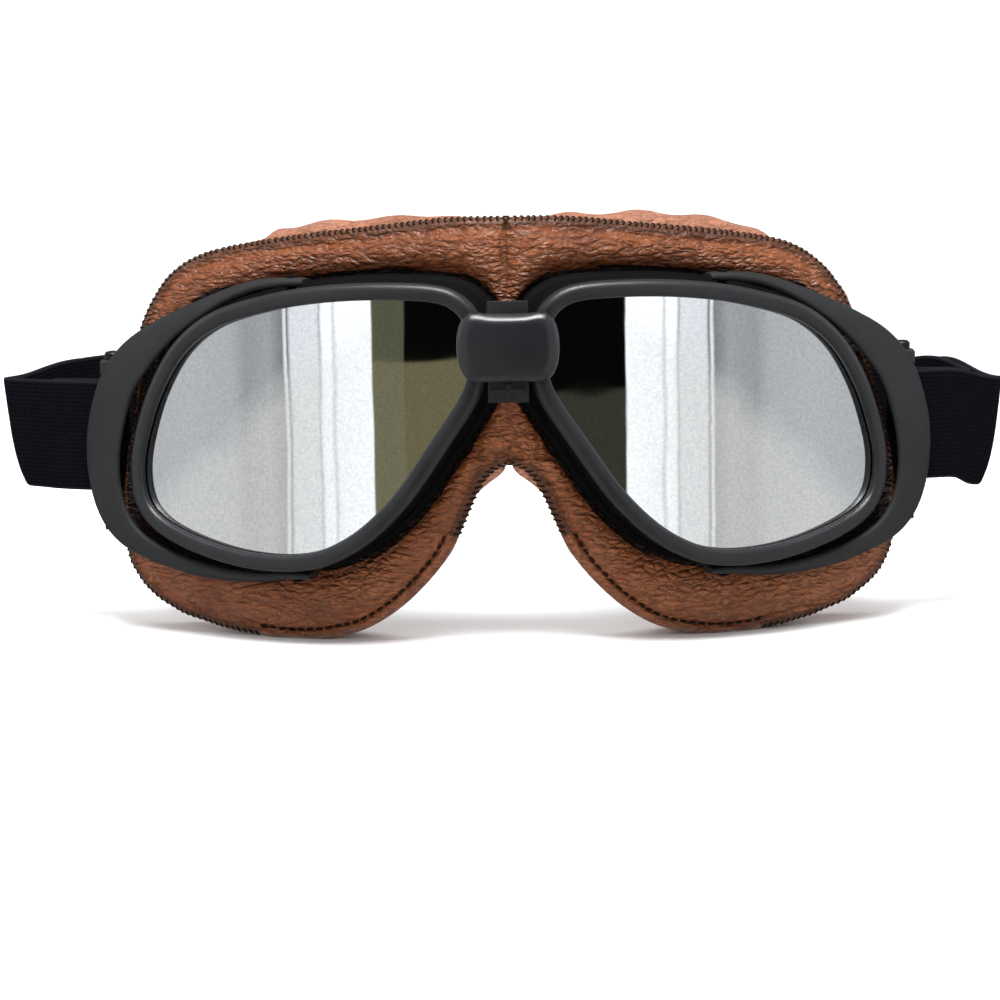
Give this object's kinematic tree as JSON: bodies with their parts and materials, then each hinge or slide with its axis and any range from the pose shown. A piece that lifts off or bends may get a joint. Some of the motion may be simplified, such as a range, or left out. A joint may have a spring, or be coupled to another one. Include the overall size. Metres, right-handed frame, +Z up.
{
  "type": "motorcycle goggles",
  "caption": "Goggles with two mirrored lenses in hinged eyecups, a padded leather face mask, swinging strap arms and an elastic strap with an adjuster.",
  "frame": {"origin": "centre of the footprint at the lowest point of the mask", "axes": "+Z up, the lenses face -Y, +X to the viewer's right"},
  "size_m": [0.227, 0.124, 0.0931],
  "materials": {
    "frame_plastic": "moulded matte black",
    "arm_plastic": "fine matte charcoal",
    "cover_plastic": "satin black",
    "mirror_lens": "silver mirror coating",
    "pin_steel": "dark turned steel",
    "mask_leather": "grained reddish brown",
    "cushion_leather": "soft brown leather over foam",
    "strap_elastic": "woven black elastic"
  },
  "bodies": {
    "bridge": {"bridge_link": "frame_plastic", "bridge_cover": "cover_plastic", "bridge_pin_left": "pin_steel", "bridge_pin_right": "pin_steel", "strap_rear": "strap_elastic"},
    "eyecup_left": {"eyecup_frame_left": "frame_plastic", "lens_left": "mirror_lens", "lens_retainer_left": "frame_plastic", "clamp_ring_left": "frame_plastic", "mask_leather_left": "mask_leather", "face_cushion_left": "cushion_leather", "pivot_pin_top_left": "pin_steel", "pivot_pin_bottom_left": "pin_steel", "strap_left": "strap_elastic"},
    "eyecup_right": {"eyecup_frame_right": "frame_plastic", "lens_right": "mirror_lens", "lens_retainer_right": "frame_plastic", "clamp_ring_right": "frame_plastic", "mask_leather_right": "mask_leather", "face_cushion_right": "cushion_leather", "pivot_pin_top_right": "pin_steel", "pivot_pin_bottom_right": "pin_steel", "strap_right": "strap_elastic"},
    "arm_left": {"outrigger_left": "arm_plastic", "strap_pin_left": "pin_steel"},
    "arm_right": {"outrigger_right": "arm_plastic", "strap_pin_right": "pin_steel"},
    "adjuster": {"strap_slider": "frame_plastic"}
  },
  "joints": [
    {"name": "fold_left", "type": "hinge", "parent": "bridge", "child": "eyecup_left", "pos_m": [-0.0034, -0.05455, 0.0663], "axis": [0, 0, -1], "range_deg": [-6, 6], "deforming": ["mask_leather_left", "face_cushion_left", "strap_rear"]},
    {"name": "fold_right", "type": "hinge", "parent": "bridge", "child": "eyecup_right", "pos_m": [0.0034, -0.05455, 0.0663], "axis": [0, 0, 1], "range_deg": [-6, 6], "deforming": ["mask_leather_right", "face_cushion_right", "strap_rear"]},
    {"name": "arm_swing_left", "type": "hinge", "parent": "eyecup_left", "child": "arm_left", "pos_m": [-0.04655, -0.04113, 0.041], "axis": [0, 0, 1], "range_deg": [0, 76], "deforming": ["strap_left"]},
    {"name": "arm_swing_right", "type": "hinge", "parent": "eyecup_right", "child": "arm_right", "pos_m": [0.04655, -0.04113, 0.041], "axis": [0, 0, -1], "range_deg": [0, 76], "deforming": ["strap_right"]},
    {"name": "adjuster_slide", "type": "slide", "parent": "eyecup_right", "child": "adjuster", "axis": [-0.6504, 0.7596, 0], "range_m": [-0.01, 0.005]}
  ]
}
